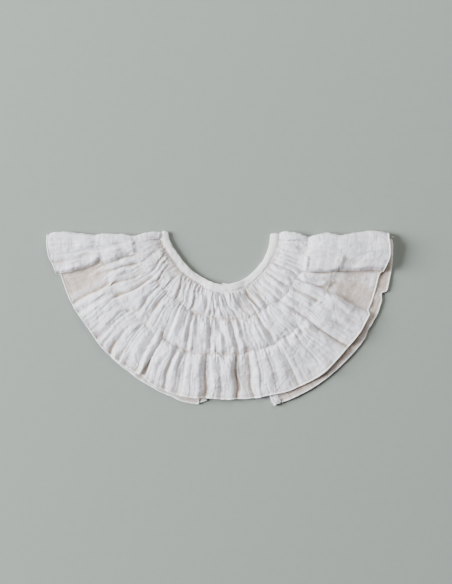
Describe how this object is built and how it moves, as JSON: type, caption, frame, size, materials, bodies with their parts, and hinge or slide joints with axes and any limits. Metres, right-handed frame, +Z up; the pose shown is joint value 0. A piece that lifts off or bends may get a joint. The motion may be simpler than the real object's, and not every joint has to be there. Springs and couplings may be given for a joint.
{
  "type": "ruff collar",
  "caption": "Gathered frill collar of white double gauze with a narrow neck binding, laid flat and folded in half, open at the centre back.",
  "frame": {"origin": "middle of the bounding box, on the surface the collar lies on", "axes": "+X to the right wing along the shoulder fold line, +Y from the front hem to the neck, +Z up off the surface"},
  "size_m": [0.3454, 0.1754, 0.0109],
  "materials": {
    "double_gauze": "matt crinkled cotton double gauze",
    "bias_binding": "matt smooth cotton bias strip",
    "press_stud": "white enamel"
  },
  "bodies": {
    "root": {"neck_binding": "bias_binding", "frill_band_1_front": "double_gauze", "frill_band_2_front": "double_gauze", "frill_band_3_front": "double_gauze", "frill_back_left": "double_gauze", "frill_back_right": "double_gauze", "opening_hem_left": "double_gauze", "opening_hem_right": "double_gauze", "neck_snap": "press_stud"}
  },
  "joints": []
}
